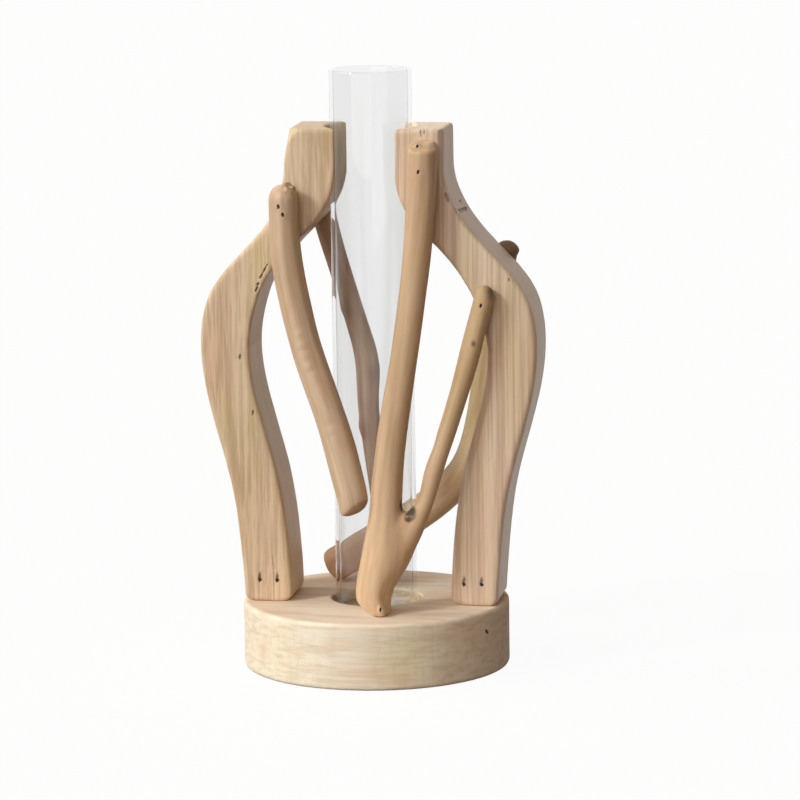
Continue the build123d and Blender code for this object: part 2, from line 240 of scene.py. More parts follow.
def read_points(mesh):
    """A mesh's points, in millimetres."""
    return read_rows(mesh.vertices, "co", 3, np.float32).astype(float) / MM


def read_normals(mesh):
    """A mesh's smooth normals at its points."""
    return read_rows(mesh.vertex_normals, "vector", 3, np.float32).astype(float)


def read_edges(mesh):
    """The pairs of points that a mesh's edges join."""
    return read_rows(mesh.edges, "vertices", 2, np.int32)


def write_points(mesh, points):
    """Moves a mesh's points, given in millimetres."""
    mesh.vertices.foreach_set("co", (points * MM).astype(np.float32).ravel())
    mesh.update()


def write_vectors(mesh, name, vectors):
    """Keeps a vector at each point, for the material to read."""
    layer = mesh.attributes.new(name, "FLOAT_VECTOR", "POINT")
    layer.data.foreach_set("vector", np.asarray(vectors, np.float32).ravel())


def soften(points, edges, weights, rounds):
    """Points drawn towards the middle of their neighbours, as far as their weights say."""
    count = len(points)
    degree = np.bincount(edges.ravel(), minlength=count)
    steps = SOFTEN_STEP * np.broadcast_to(weights, count)
    for _ in range(rounds):
        middle = np.empty_like(points)
        for axis in range(3):
            ahead = np.bincount(edges[:, 0], points[edges[:, 1], axis], count)
            behind = np.bincount(edges[:, 1], points[edges[:, 0], axis], count)
            middle[:, axis] = (ahead + behind) / degree
        points = points + (middle - points) * steps[:, None]
    return points


def welded(node):
    """A CAD node's mesh, open for work, with the faces joined that share a place."""
    work = bmesh.new()
    work.from_mesh(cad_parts[node].data)
    bmesh.ops.remove_doubles(work, verts=work.verts, dist=SAME_PLACE * MM)
    return work


def brad_marks(node):
    """Each brad of a node: its mark on the surface and its heading into the wood."""
    work = welded(node)
    marks = []
    seen = set()
    for first in work.verts:
        if first in seen:
            continue
        seen.add(first)
        waiting = [first]
        brad = []
        while waiting:
            vert = waiting.pop()
            brad.append(vert.co / MM)
            others = [edge.other_vert(vert) for edge in vert.link_edges]
            waiting += [other for other in others if other not in seen]
            seen.update(others)
        points = np.array(brad)
        middle = points.mean(axis=0)
        heading = np.linalg.svd(points - middle, full_matrices=False)[2][0]
        reach = (points - middle) @ heading
        width = np.linalg.norm(points - middle - reach[:, None] * heading, axis=1)
        if reach[width.argmax()] > 0:
            heading = -heading
            reach = -reach
        marks.append((middle + heading * (reach.min() - BRAD_SINK), heading))
    work.free()
    return marks


def add_plug(work, place, heading, plug_out):
    """Closes a brad's hole, from a little outside its mark to below it."""
    turn = Vector(heading).to_track_quat("Z", "Y").to_matrix().to_4x4()
    middle = Vector(place + heading * (PLUG_DEPTH - plug_out) / 2) * MM
    bmesh.ops.create_cone(
        work, cap_ends=True, segments=PLUG_SIDES, depth=(PLUG_DEPTH + plug_out) * MM,
        radius1=PLUG_RADIUS * MM, radius2=PLUG_RADIUS * MM,
        matrix=Matrix.Translation(middle) @ turn,
    )


def add_swelling(work, start, end, start_radius, end_radius):
    """A row of close balls that thickens a twig from one place to another."""
    start, end = np.array((start, end), float)
    steps = max(2, int(np.linalg.norm(end - start) / SWELLING_STEP))
    for share in np.linspace(0, 1, steps):
        place = Vector(start + (end - start) * share) * MM
        radius = (start_radius + (end_radius - start_radius) * share) * MM
        bmesh.ops.create_icosphere(
            work, subdivisions=BALL_DIVISIONS, radius=radius, matrix=Matrix.Translation(place)
        )


def trim(work, place, facing):
    """Cuts off what lies beyond a plane and closes the cut."""
    whole = list(work.verts) + list(work.edges) + list(work.faces)
    cut = bmesh.ops.bisect_plane(
        work, geom=whole, clear_outer=True,
        plane_co=Vector(place) * MM, plane_no=Vector(unit(facing)),
    )
    rim = [part for part in cut["geom_cut"] if isinstance(part, bmesh.types.BMEdge)]
    bmesh.ops.edgeloop_fill(work, edges=rim)


def even_copy(node, voxel, marks=(), plug_out=0.0, swellings=(), cuts=()):
    """New object with a CAD node's shape in an even mesh, with its brad holes closed."""
    work = welded(node)
    for place, facing in cuts:
        trim(work, place, facing)
    for place, heading in marks:
        add_plug(work, place, heading, plug_out)
    for swelling in swellings:
        add_swelling(work, *swelling)
    rough = bpy.data.meshes.new(node + "_rough")
    work.to_mesh(rough)
    work.free()
    piece = link(bpy.data.objects.new(node + "_wood", rough))
    remesh = piece.modifiers.new("even", "REMESH")
    remesh.mode = "VOXEL"
    remesh.voxel_size = voxel * MM
    graph = bpy.context.evaluated_depsgraph_get()
    even = bpy.data.meshes.new_from_object(piece.evaluated_get(graph))
    piece.modifiers.clear()
    piece.data = even
    bpy.data.meshes.remove(rough)
    even.name = node + "_wood"
    even.materials.clear()
    even.shade_smooth()
    return piece


def refine(piece, gaps):
    """Divides the edges whose points lie within a reach of a mark, given each point's gap to it."""
    edges = read_edges(piece.data)
    near = np.flatnonzero((gaps[edges] < FINE_REACH).all(axis=1))
    work = bmesh.new()
    work.from_mesh(piece.data)
    work.edges.ensure_lookup_table()
    bmesh.ops.subdivide_edges(
        work, edges=[work.edges[index] for index in near], cuts=FINE_CUTS, use_grid_fill=True
    )
    wide = [face for face in work.faces if len(face.verts) > 4]
    bmesh.ops.triangulate(work, faces=wide)
    work.to_mesh(piece.data)
    work.free()


def smooth_route(route):
    """Points of a smooth curve through a route's points."""
    points = np.array(route, float)
    ends = np.vstack([2 * points[0] - points[1], points, 2 * points[-1] - points[-2]])
    curve = []
    for before, start, end, after in zip(ends, ends[1:], ends[2:], ends[3:]):
        for step in range(ROUTE_STEPS):
            t = step / ROUTE_STEPS
            curve.append(
                start
                + t * (end - before) / 2
                + t**2 * (before - 2.5 * start + 2 * end - after / 2)
                + t**3 * (1.5 * (start - end) + (after - before) / 2)
            )
    curve.append(points[-1])
    return np.array(curve)


def along(points, routes):
    """Places of points along the nearest of some routes: side and depth off it, length along it."""
    nearest = np.full(len(points), np.inf)
    places = np.zeros((len(points), 3))
    for route in routes:
        passed = 0.0
        curve = smooth_route(route)
        for start, end in zip(curve, curve[1:]):
            length = np.linalg.norm(end - start)
            heading = (end - start) / length
            share = np.clip((points - start) @ heading, 0, length)
            offset = points - start - share[:, None] * heading
            gap = np.linalg.norm(offset, axis=1)
            depth_axis = unit(np.cross(heading, X_AXIS))
            side_axis = np.cross(depth_axis, heading)
            better = gap < nearest
            nearest[better] = gap[better]
            places[better, 0] = (offset @ side_axis)[better]
            places[better, 1] = (offset @ depth_axis)[better]
            places[better, 2] = (passed + share)[better]
            passed += length
    return places


class Surface:
    """The points of a wooden piece while it is worked, with its dark, olive and pink tones."""

    def __init__(self, piece, marks, cracks=()):
        points = read_points(piece.data)
        gaps = [np.linalg.norm(points - place, axis=1) for place, heading in marks]
        gaps += [gap_to_line(points, crack) + CRACK_CLEARANCE for crack in cracks]
        refine(piece, np.min(gaps, axis=0))
        self.piece = piece
        self.mesh = piece.data
        self.points = read_points(self.mesh)
        self.edges = read_edges(self.mesh)
        self.tones = np.zeros((len(self.points), 3))

    @property
    def across(self):
        """Place of each point from left to right."""
        return self.points[:, 0]

    @property
    def high(self):
        """Height of each point."""
        return self.points[:, 2]

    def soften(self, weights, rounds):
        self.points = soften(self.points, self.edges, weights, rounds)

    def fill_hollows(self, weights, rounds):
        """Raises the bottoms of grooves and leaves the ridges."""
        for _ in range(rounds):
            write_points(self.mesh, self.points)
            normals = read_normals(self.mesh)
            step = soften(self.points, self.edges, weights, 1) - self.points
            outward = np.maximum((step * normals).sum(axis=1), 0)
            self.points = self.points + normals * outward[:, None]

    def lift(self, heights):
        """Raises points along their normals."""
        write_points(self.mesh, self.points)
        self.points = self.points + read_normals(self.mesh) * heights[:, None]

    def shave(self, place, facing, weights):
        """Brings points beyond a plane back to it, as far as their weights say."""
        facing = unit(facing)
        beyond = np.maximum((self.points - place) @ facing, 0)
        self.points = self.points - facing * (beyond * weights)[:, None]

    def dome(self, centre, axis, radius):
        """Brings points past a centre onto a round end."""
        offset = self.points - centre
        height = offset @ unit(axis)
        gap = np.maximum(np.linalg.norm(offset, axis=1), SAME_PLACE)
        round_end = centre + offset * (radius / gap)[:, None]
        share = ramp(height, 0, radius * DOME_ONSET) * (gap < radius * DOME_REACH)
        self.points = self.points + (round_end - self.points) * share[:, None]

    def darken(self, amounts):
        self.tones[:, 0] = np.maximum(self.tones[:, 0], amounts)

    def tint(self, olive, pink):
        self.tones[:, 1] = np.maximum(self.tones[:, 1], olive)
        self.tones[:, 2] = np.maximum(self.tones[:, 2], pink)

    def sink_marks(self, marks, lean, half_width, half_height, depth, dark=1.0):
        """Cuts the marks of nails, with torn edges."""
        for place, heading in marks:
            offset = self.points - place
            side_axis = unit(np.cross(heading, lean))
            up_axis = np.cross(side_axis, heading)
            ring = np.hypot(offset @ side_axis / half_width, offset @ up_axis / half_height)
            ring = ring + MARK_TEAR * noise(self.points, TEAR_SIZE, seed=7)
            close = np.linalg.norm(offset, axis=1) < FINE_REACH
            inside = (1 - ramp(ring, *MARK_EDGE)) * close
            self.points = self.points + heading * (depth * inside)[:, None]
            self.darken(dark * inside)

    def sink_crack(self, line, half_width, depth, dark, inward):
        """Cuts a crack along a line of places."""
        gaps = gap_to_line(self.points, line) + CRACK_TEAR * noise(self.points, TEAR_SIZE, seed=17)
        inside = 1 - ramp(gaps, half_width * CRACK_CORE, half_width)
        self.points = self.points + np.asarray(inward, float) * (depth * inside)[:, None]
        self.darken(dark * inside)

    def settle(self, node, slot, material):
        """Finishes the piece and puts it in the place of its CAD node."""
        write_points(self.mesh, self.points)
        write_vectors(self.mesh, "tones", self.tones)
        self.mesh.materials.append(material)
        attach(self.piece, "stand")
        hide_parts(node)


# Materials

# Tones kept at the points of the wood
OLIVE_TONE = (0.93, 0.95, 0.80, 1)
PINK_TONE = (0.88, 0.74, 0.70, 1)
DARK_TONE = (0.045, 0.026, 0.014, 1)
PLAIN_TONE = (1, 1, 1, 1)

# Boards: the tones of their zones, fibres and pores, and each board's own look
BOARD_OLIVE = (0.95, 0.965, 0.87, 1)
BOARD_BLUSH = (0.99, 0.92, 0.89, 1)
BOARD_FIBRE = (0.94, 0.92, 0.89, 1)
BOARD_PORE = (0.85, 0.79, 0.71, 1)
BOARD_LOOKS = {
    "left_board": {
        "light": (0.78, 0.625, 0.46, 1), "dark": (0.58, 0.44, 0.30, 1),
        "shift": (3, 7, 1), "line_length": 21, "waver": 0.6, "gloss": 0.3,
    },
    "right_board": {
        "light": (0.78, 0.635, 0.50, 1), "dark": (0.56, 0.43, 0.315, 1),
        "shift": (11, 2, 5), "line_length": 60, "waver": 0.25, "gloss": 0.6,
    },
}

# Base
BASE_LIGHT = (0.95, 0.88, 0.755, 1)
BASE_DARK = (0.84, 0.74, 0.595, 1)
BASE_BLUSH = (1.0, 0.95, 0.92, 1)
BASE_HATCH = (0.955, 0.94, 0.905, 1)
BASE_FIBRE = (0.96, 0.945, 0.92, 1)
BASE_FLECK = (0.94, 0.92, 0.86, 1)

# Twigs: the tones of their zones and fibres, where the tone of a foot sets in, and each twig's own look
TWIG_OLIVE = (0.94, 0.93, 0.87, 1)
TWIG_BLUSH = (0.98, 0.91, 0.87, 1)
TWIG_FIBRE = (0.96, 0.94, 0.92, 1)
FOOT_TONE_TOP = 90.0
FOOT_TONE_FULL = 45.0
TWIG_LOOKS = {
    "left_twig": {
        "light": (0.68, 0.515, 0.37, 1), "dark": (0.56, 0.405, 0.28, 1), "shift": (51, 0, 3),
    },
    "forked_twig": {
        "light": (0.65, 0.465, 0.31, 1), "dark": (0.55, 0.38, 0.245, 1), "shift": (41, 2, 0),
        "foot_tone": (1.1, 1.09, 1.05, 1),
    },
    "back_left_twig": {
        "light": (0.60, 0.41, 0.29, 1), "dark": (0.44, 0.28, 0.19, 1), "shift": (61, 1, 5),
    },
    "back_right_twig": {
        "light": (0.74, 0.555, 0.37, 1), "dark": (0.60, 0.43, 0.275, 1), "shift": (71, 4, 2),
    },
}

# Steel and glass
DARK_STEEL = (0.055, 0.045, 0.04, 1)
RUST = (0.09, 0.045, 0.025, 1)
GLASS_TINT = (0.90, 0.905, 0.905, 1)
GLASS_SHADE = (0.94, 0.945, 0.945, 1)
WHITE = (1, 1, 1, 1)


class Nodes:
    """A node tree while it is built."""

    def __init__(self, tree):
        self.tree = tree

    def put(self, node, inputs):
        for key, value in inputs.items():
            if isinstance(value, bpy.types.NodeSocket):
                self.tree.links.new(value, node.inputs[key])
            else:
                node.inputs[key].default_value = value

    def node(self, kind, inputs=None, **settings):
        node = self.tree.nodes.new(kind)
        for key, value in settings.items():
            setattr(node, key, value)
        self.put(node, inputs or {})
        return node

    def math(self, operation, first, second):
        return self.node("ShaderNodeMath", {0: first, 1: second}, operation=operation).outputs[0]

    def blend(self, share, first, second):
        """Shader between the shaders of two nodes."""
        inputs = {0: share, 1: first.outputs[0], 2: second.outputs[0]}
        return self.node("ShaderNodeMixShader", inputs).outputs[0]

    def seen_ray(self):
        """1 for rays that show a surface directly, in a mirror or through glass, and light nothing."""
        path = self.node("ShaderNodeLightPath").outputs
        shown = self.math("MAXIMUM", path["Is Camera Ray"], path["Is Glossy Ray"])
        shown = self.math("MAXIMUM", shown, path["Is Transmission Ray"])
        return self.math("MULTIPLY", shown, self.math("LESS_THAN", path["Diffuse Depth"], 0.5))


class Paint(Nodes):
    """A material's node tree, built round its Principled shader."""

    def __init__(self, name):
        self.material = bpy.data.materials.new(name)
        self.material.use_nodes = True
        super().__init__(self.material.node_tree)
        self.shader = self.tree.nodes["Principled BSDF"]
        self.output = self.tree.nodes["Material Output"]

    def object_place(self):
        """Place on the piece, in millimetres."""
        place = self.node("ShaderNodeTexCoord").outputs["Object"]
        return self.scaled(place, (1 / MM, 1 / MM, 1 / MM))

    def kept(self, name):
        """A vector kept at the mesh's points."""
        return self.node("ShaderNodeAttribute", attribute_name=name).outputs["Vector"]

    def scaled(self, place, scale, shift=(0, 0, 0)):
        mapping = self.node("ShaderNodeMapping", {"Vector": place, "Scale": scale, "Location": shift})
        return mapping.outputs["Vector"]

    def noise(self, place, sizes, detail=2, rough=0.5, shift=(0, 0, 0), waver=0.0):
        """Noise from 0 to 1 with features of a size along each axis, which may waver."""
        scale = tuple(1 / size for size in sizes)
        inputs = {
            "Vector": self.scaled(place, scale, shift),
            "Scale": 1.0,
            "Detail": detail,
            "Roughness": rough,
            "Distortion": waver,
        }
        return self.node("ShaderNodeTexNoise", inputs).outputs[0]

    def step(self, value, low, high):
        """Smooth step from 0 at low to 1 at high."""
        inputs = {"Value": value, "From Min": low, "From Max": high}
        return self.node("ShaderNodeMapRange", inputs, interpolation_type="SMOOTHSTEP").outputs[0]

    def spread(self, value, low, high):
        """A value from 0 to 1 spread from low to high."""
        return self.node("ShaderNodeMapRange", {"Value": value, "To Min": low, "To Max": high}).outputs[0]

    def mix(self, share, first, second, mode="MIX"):
        """Colour between two colours."""
        inputs = {0: share, 6: first, 7: second}
        return self.node("ShaderNodeMix", inputs, data_type="RGBA", blend_type=mode).outputs[2]

    def tinted(self, colour, value, low, high, tone):
        """Colour multiplied by a tone where a value rises from low to high."""
        return self.mix(self.step(value, low, high), colour, tone, "MULTIPLY")

    def toned(self, colour):
        """Colour with the olive, pink and dark tones kept at the mesh's points."""
        tones = self.node("ShaderNodeSeparateXYZ", {0: self.kept("tones")}).outputs
        colour = self.mix(tones["Y"], colour, OLIVE_TONE, "MULTIPLY")
        colour = self.mix(tones["Z"], colour, PINK_TONE, "MULTIPLY")
        return self.mix(tones["X"], colour, DARK_TONE)

    def wood(self, colour, roughness, gloss, relief, relief_depth, relief_strength):
        """The finished material of a wood with a toned colour and a fine relief."""
        inputs = {"Height": relief, "Distance": relief_depth * MM, "Strength": relief_strength}
        self.put(self.shader, {
            "Base Color": self.toned(colour),
            "Roughness": roughness,
            "Specular IOR Level": gloss,
            "Normal": self.node("ShaderNodeBump", inputs).outputs[0],
        })
        return self.material


def board_paint(name, light, dark, shift, line_length, waver, gloss):
    """Sawn softwood with upright grain: growth lines, fine fibres, dark pores and tinted zones."""
    paint = Paint(name)
    place = paint.object_place()
    turned_shift = (shift[1], shift[2], shift[0])
    facing = paint.node("ShaderNodeNewGeometry").outputs["Normal"]
    front = paint.math("ABSOLUTE", paint.node("ShaderNodeSeparateXYZ", {0: facing}).outputs["Y"], 0.0)
    front = paint.spread(paint.step(front, 0.35, 0.8), 0.12, 1.0)
    sway = paint.noise(place, sizes=(14, 14, 60), shift=shift)
    blush = paint.noise(place, sizes=(7, 10, 90), shift=turned_shift)
    lines = paint.noise(place, sizes=(1.0, 6, line_length), detail=3, rough=0.6, shift=shift, waver=waver)
    broad = paint.noise(place, sizes=(2.8, 12, 2.5 * line_length), shift=shift, waver=waver / 2)
    fibres = paint.noise(place, sizes=(0.35, 0.35, 7), rough=0.6, shift=shift)
    pores = paint.noise(place, sizes=(0.4, 0.4, 4.5), rough=0.6, shift=shift)
    pores = paint.step(pores, 0.66, 0.80)
    grain = paint.math("ADD", paint.math("MULTIPLY", lines, 0.55), paint.math("MULTIPLY", broad, 0.45))
    grain = paint.math("MULTIPLY", paint.step(grain, 0.40, 0.61), front)
    pores = paint.math("MULTIPLY", pores, front)
    colour = paint.mix(grain, light, dark)
    colour = paint.tinted(colour, sway, 0.48, 0.66, BOARD_OLIVE)
    colour = paint.tinted(colour, blush, 0.50, 0.66, BOARD_BLUSH)
    colour = paint.tinted(colour, fibres, 0.3, 0.75, BOARD_FIBRE)
    colour = paint.mix(pores, colour, BOARD_PORE, "MULTIPLY")
    return paint.wood(
        colour, roughness=paint.spread(fibres, 0.40, 0.54), gloss=gloss,
        relief=paint.math("SUBTRACT", fibres, pores), relief_depth=0.08, relief_strength=0.4,
    )


def base_paint():
    """Pale turned wood with its grain lying crosswise: long lines in front, end grain at the sides."""
    paint = Paint("base_wood")
    place = paint.object_place()
    zones = paint.noise(place, sizes=(24, 16, 9))
    lines = paint.noise(place, sizes=(34, 5, 1.7), detail=3, rough=0.55)
    hatch = paint.noise(place, sizes=(40, 0.75, 8), rough=0.6)
    fibres = paint.noise(place, sizes=(9, 0.35, 0.35), rough=0.6)
    flecks = paint.noise(place, sizes=(1.0, 1.0, 1.7))
    colour = paint.mix(paint.step(lines, 0.40, 0.66), BASE_LIGHT, BASE_DARK)
    colour = paint.tinted(colour, zones, 0.42, 0.66, BASE_BLUSH)
    colour = paint.tinted(colour, hatch, 0.40, 0.70, BASE_HATCH)
    colour = paint.tinted(colour, fibres, 0.35, 0.75, BASE_FIBRE)
    colour = paint.tinted(colour, flecks, 0.62, 0.74, BASE_FLECK)
    return paint.wood(
        colour, roughness=paint.spread(lines, 0.6, 0.8), gloss=0.25,
        relief=fibres, relief_depth=0.08, relief_strength=0.5,
    )


def twig_paint(name, light, dark, shift, foot_tone=PLAIN_TONE):
    """Peeled twig: smooth wood with long faint streaks and soft zones, in another tone at its foot."""
    paint = Paint(name)
    height = paint.node("ShaderNodeSeparateXYZ", {0: paint.object_place()}).outputs["Z"]
    place = paint.kept("grain")
    turned_shift = (shift[1], shift[0], shift[2])
    streaks = paint.noise(place, sizes=(2.6, 2.6, 45), detail=3, shift=shift)
    zones = paint.noise(place, sizes=(8, 8, 24), shift=shift)
    blush = paint.noise(place, sizes=(6, 6, 14), shift=turned_shift)
    fibres = paint.noise(place, sizes=(0.4, 0.4, 9), rough=0.6, shift=shift)
    colour = paint.mix(paint.step(streaks, 0.34, 0.70), light, dark)
    colour = paint.tinted(colour, zones, 0.46, 0.68, TWIG_OLIVE)
    colour = paint.tinted(colour, blush, 0.52, 0.70, TWIG_BLUSH)
    colour = paint.tinted(colour, fibres, 0.35, 0.8, TWIG_FIBRE)
    colour = paint.tinted(colour, height, FOOT_TONE_TOP, FOOT_TONE_FULL, foot_tone)
    return paint.wood(
        colour, roughness=paint.spread(streaks, 0.48, 0.66), gloss=0.3,
        relief=fibres, relief_depth=0.05, relief_strength=0.35,
    )


def steel_paint():
    """Dull dark steel of the brads, with rust spots."""
    paint = Paint("brad_steel")
    rust = paint.noise(paint.object_place(), sizes=(0.6, 0.6, 0.6), detail=3, rough=0.6)
    rust = paint.step(rust, 0.5, 0.65)
    paint.put(paint.shader, {
        "Base Color": paint.mix(rust, DARK_STEEL, RUST),
        "Metallic": 0.6,
        "Roughness": paint.spread(rust, 0.45, 0.8),
    })
    return paint.material


def glass_paint():
    """Clear glass that lets the lamps through."""
    paint = Paint("clear_glass")
    paint.put(paint.shader, {
        "Base Color": GLASS_TINT,
        "Roughness": 0.0,
        "IOR": 1.01,
        "Transmission Weight": 1.0,
        "Coat Weight": 0.7,
    })
    clear = paint.node("ShaderNodeBsdfTransparent", {"Color": GLASS_SHADE})
    shadow = paint.node("ShaderNodeLightPath").outputs["Is Shadow Ray"]
    paint.put(paint.output, {"Surface": paint.blend(shadow, paint.shader, clear)})
    return paint.material


# Boards

# Cracks and chips: half width, depth, darkness and the places along each one
BOARD_CRACKS = {
    "left_board": (
        (0.36, 0.5, 0.75, ((-36.6, FRONT, 149.6), (-38.2, FRONT, 146.6), (-39.3, FRONT, 144.7))),
        (0.48, 0.5, 0.80, ((-39.9, FRONT, 142.9), (-40.9, FRONT, 139.9))),
        (0.35, 0.3, 0.50, ((-35.4, FRONT, 147.2), (-37.0, FRONT, 144.0), (-38.6, FRONT, 141.0))),
        (0.50, 0.4, 0.65, ((-47.3, FRONT, 116.0), (-47.2, FRONT, 114.9))),
        (0.50, 0.4, 0.65, ((-42.6, FRONT, 95.4), (-42.9, FRONT, 94.2))),
        (0.40, 0.1, 0.22, ((-36.3, FRONT, 41.5), (-35.9, FRONT, 37.1), (-36.1, FRONT, 25.0))),
    ),
    "right_board": (
        (0.30, 0.3, 0.55, ((20.5, FRONT, 199.3), (20.7, FRONT, 196.8))),
        (0.30, 0.3, 0.45, ((21.9, FRONT, 199.2), (22.0, FRONT, 197.6))),
        (0.45, 0.4, 0.75, ((52.2, FRONT, 145.4), (52.3, FRONT, 144.7))),
        (0.30, 0.2, 0.40, ((26.2, FRONT, 158.8), (25.6, FRONT, 158.4))),
        (0.95, 0.7, 0.80, ((33.6, -8.6, 169.2), (33.9, -1.5, 168.8), (34.1, 5.6, 168.4))),
        (0.60, 0.4, 0.55, ((32.4, -0.5, 171.7), (32.4, 2.5, 171.6))),
        (0.70, 0.4, 0.60, ((29.4, FRONT, 176.1), (29.7, FRONT, 174.8), (30.3, FRONT, 173.5))),
        (0.60, 0.4, 0.45, ((32.6, -12.8, 170.6), (33.6, -12.8, 169.2))),
        (0.45, 0.2, 0.35, ((47.6, -3.2, 33.8), (47.6, -3.2, 32.6))),
    ),
}


# Sanded corners at the tops of the necks: a place on each cut and its facing, and where the cuts set in
CORNER_CUTS = {
    "left_board": ((-25.3, FRONT, 198.6), (-0.70, -0.52, 0.49)),
    "right_board": ((NECK_OUTSIDE - 2.0, FRONT, BOARD_TOP), (0.83, -0.55, 0.06)),
}
CORNER_ONSET = (176, 184)


def flare_left(points):
    """The left neck's outer side, which spreads downwards."""
    widest = 1.65
    spread = widest * band(BOARD_TOP - points[:, 2], rise=(2, 14), fall=(18, 34))
    outside = ramp(-points[:, 0], 16, NECK_OUTSIDE)
    return points - X_AXIS * (spread * outside)[:, None]


def bulge_right(points):
    """The right board's inner edge, which stands further in than the left one's."""
    fade = 14
    edge = np.interp(points[:, 2], INNER_HEIGHTS, INNER_REACHES)
    bulge = np.interp(points[:, 2], INNER_HEIGHTS, INNER_BULGES)
    inside = 1 - ramp(points[:, 0] - edge, 0, fade)
    return points - X_AXIS * (bulge * inside)[:, None]


def bevel_edge(points, inward, legs):
    """A board's front edge planed off at a slant, by a leg at each point, on the side facing -inward."""
    reach = points[:, 0] * inward
    high = points[:, 2]
    bins = np.round(np.clip(high, 0, BOARD_TOP)).astype(int)
    edge = np.full(bins.max() + 1, np.inf)
    np.minimum.at(edge, bins, reach)
    lowest = bins.min()
    heights = np.arange(lowest, len(edge))
    edge = edge[lowest:]
    lean = np.hypot(1, np.gradient(edge))
    across = reach - np.interp(high, heights, edge)
    across = across / np.interp(high, heights, lean)
    excess = np.maximum(legs - across - (points[:, 1] - FRONT), 0)
    return points + np.array((inward, 1, 0)) * (excess / 2)[:, None]


def shape_right(points):
    """The right board's own edges: the inner one planed off below the belly, the outer one all along."""
    low_leg = 2.9
    belly_leg = 1.5
    outer_leg = 1.3
    points = bulge_right(points)
    high = points[:, 2]
    inner_legs = low_leg + (belly_leg - low_leg) * ramp(high, 96, 120)
    inner_legs = inner_legs * (1 - ramp(high, 122, 138))
    outer_legs = outer_leg * band(high, rise=(34, 50), fall=(168, 178))
    return bevel_edge(bevel_edge(points, 1, inner_legs), -1, outer_legs)


def carve_board(node, side, reshape):
    """One board: worn edges, a sanded outer corner at the top, cracks and toe-nail marks."""
    marks = brad_marks(node + "_brads")
    cracks = BOARD_CRACKS[node]
    piece = even_copy(node, BOARD_VOXEL, marks, BOARD_PLUG_OUT)
    surface = Surface(piece, marks, cracks=[crack[-1] for crack in cracks])
    surface.points[:, 1] = np.clip(surface.points[:, 1], FRONT, BOARD_FACE)
    surface.soften(1.0, rounds=2)
    surface.points = reshape(surface.points)
    surface.shave(*CORNER_CUTS[node], ramp(surface.high, *CORNER_ONSET))
    near_face = ramp(np.abs(surface.points[:, 1]), BOARD_FACE - 2.0, BOARD_FACE - 0.5)
    surface.soften(near_face, rounds=5)
    waves = 0.12 * noise(surface.points, (9, 9, 30), seed=11 + side)
    ripples = 0.05 * noise(surface.points, (1.5, 3, 12), seed=21 + side)
    surface.lift(waves + ripples)
    surface.sink_marks(
        marks, lean=(0.15, 0, 1), half_width=0.58, half_height=0.95, depth=0.9, dark=0.72
    )
    for half_width, depth, dark, places in cracks:
        in_front = places[0][1] < FRONT + 1
        inward = (0, 1, 0) if in_front else (-side, 0, 0)
        surface.sink_crack(places, half_width, depth, dark, inward)
    return surface


def carve_left_board():
    """The left board: olive on its shoulder and low down, pink on its belly and foot, and pink painted
    warm shade on its inner side.
    """
    surface = carve_board("left_board", -1, flare_left)
    points = surface.points
    edge = np.interp(surface.high, INNER_HEIGHTS, INNER_REACHES)
    # Painted warm shade: the neck's inner side, facing the tube, is tinted pink and darker in place of
    # the warm bounce light it gets.
    inner_side_warm_shade = (1 - ramp(-surface.across - edge, 0.3, 1.2)) * (surface.high > 119)
    shoulder = blob(points, (-38, FRONT, 147), (9, 9, 24))
    low_zone = blob(points, (-45, FRONT, 70), (7, 9, 50))
    belly = blob(points, (-54, FRONT, 112), (7, 12, 40))
    foot = 1 - ramp(surface.high, 60, 95)
    surface.tint(
        olive=0.8 * shoulder + 0.6 * low_zone,
        pink=np.max([0.5 * belly, 0.7 * inner_side_warm_shade, 0.3 * foot], axis=0),
    )
    paint = board_paint("left_board_wood", **BOARD_LOOKS["left_board"])
    surface.settle("left_board", "board_wood", paint)


def carve_right_board():
    """The right board: olive along its belly, pink there deepened by painted shadow of the limb, and
    painted shadow of the stem in a band along its inner edge.
    """
    surface = carve_board("right_board", 1, shape_right)
    points = surface.points
    # Painted shadow of the stem: a band of pinker, darker wood right of the stem, along the inner edge.
    stem_shadow_line = ((27, FRONT, 178), (30, FRONT, 160), (41, FRONT, 118))
    stem_shadow_band = 1 - ramp(gap_to_line(points, stem_shadow_line), 2, 6.5)
    stem_shadow_band = stem_shadow_band * ramp(-points[:, 1], -6, 10)
    belly = blob(points, (52, FRONT, 124), (9, 9, 52))
    # The belly's pink tone, deepened where the limb's shadow falls: partly the wood's own tone, partly
    # painted shadow.
    pink_and_limb_shadow = blob(points, (48, FRONT, 118), (7, 9, 34))
    wide_pink_and_limb_shadow = blob(points, (50, FRONT, 118), (18, 12, 50))
    surface.tint(
        olive=0.9 * belly,
        pink=np.max([0.25 * stem_shadow_band, 0.7 * pink_and_limb_shadow, 0.45 * wide_pink_and_limb_shadow], axis=0),
    )
    paint = board_paint("right_board_wood", **BOARD_LOOKS["right_board"])
    surface.settle("right_board", "board_wood", paint)


# Base

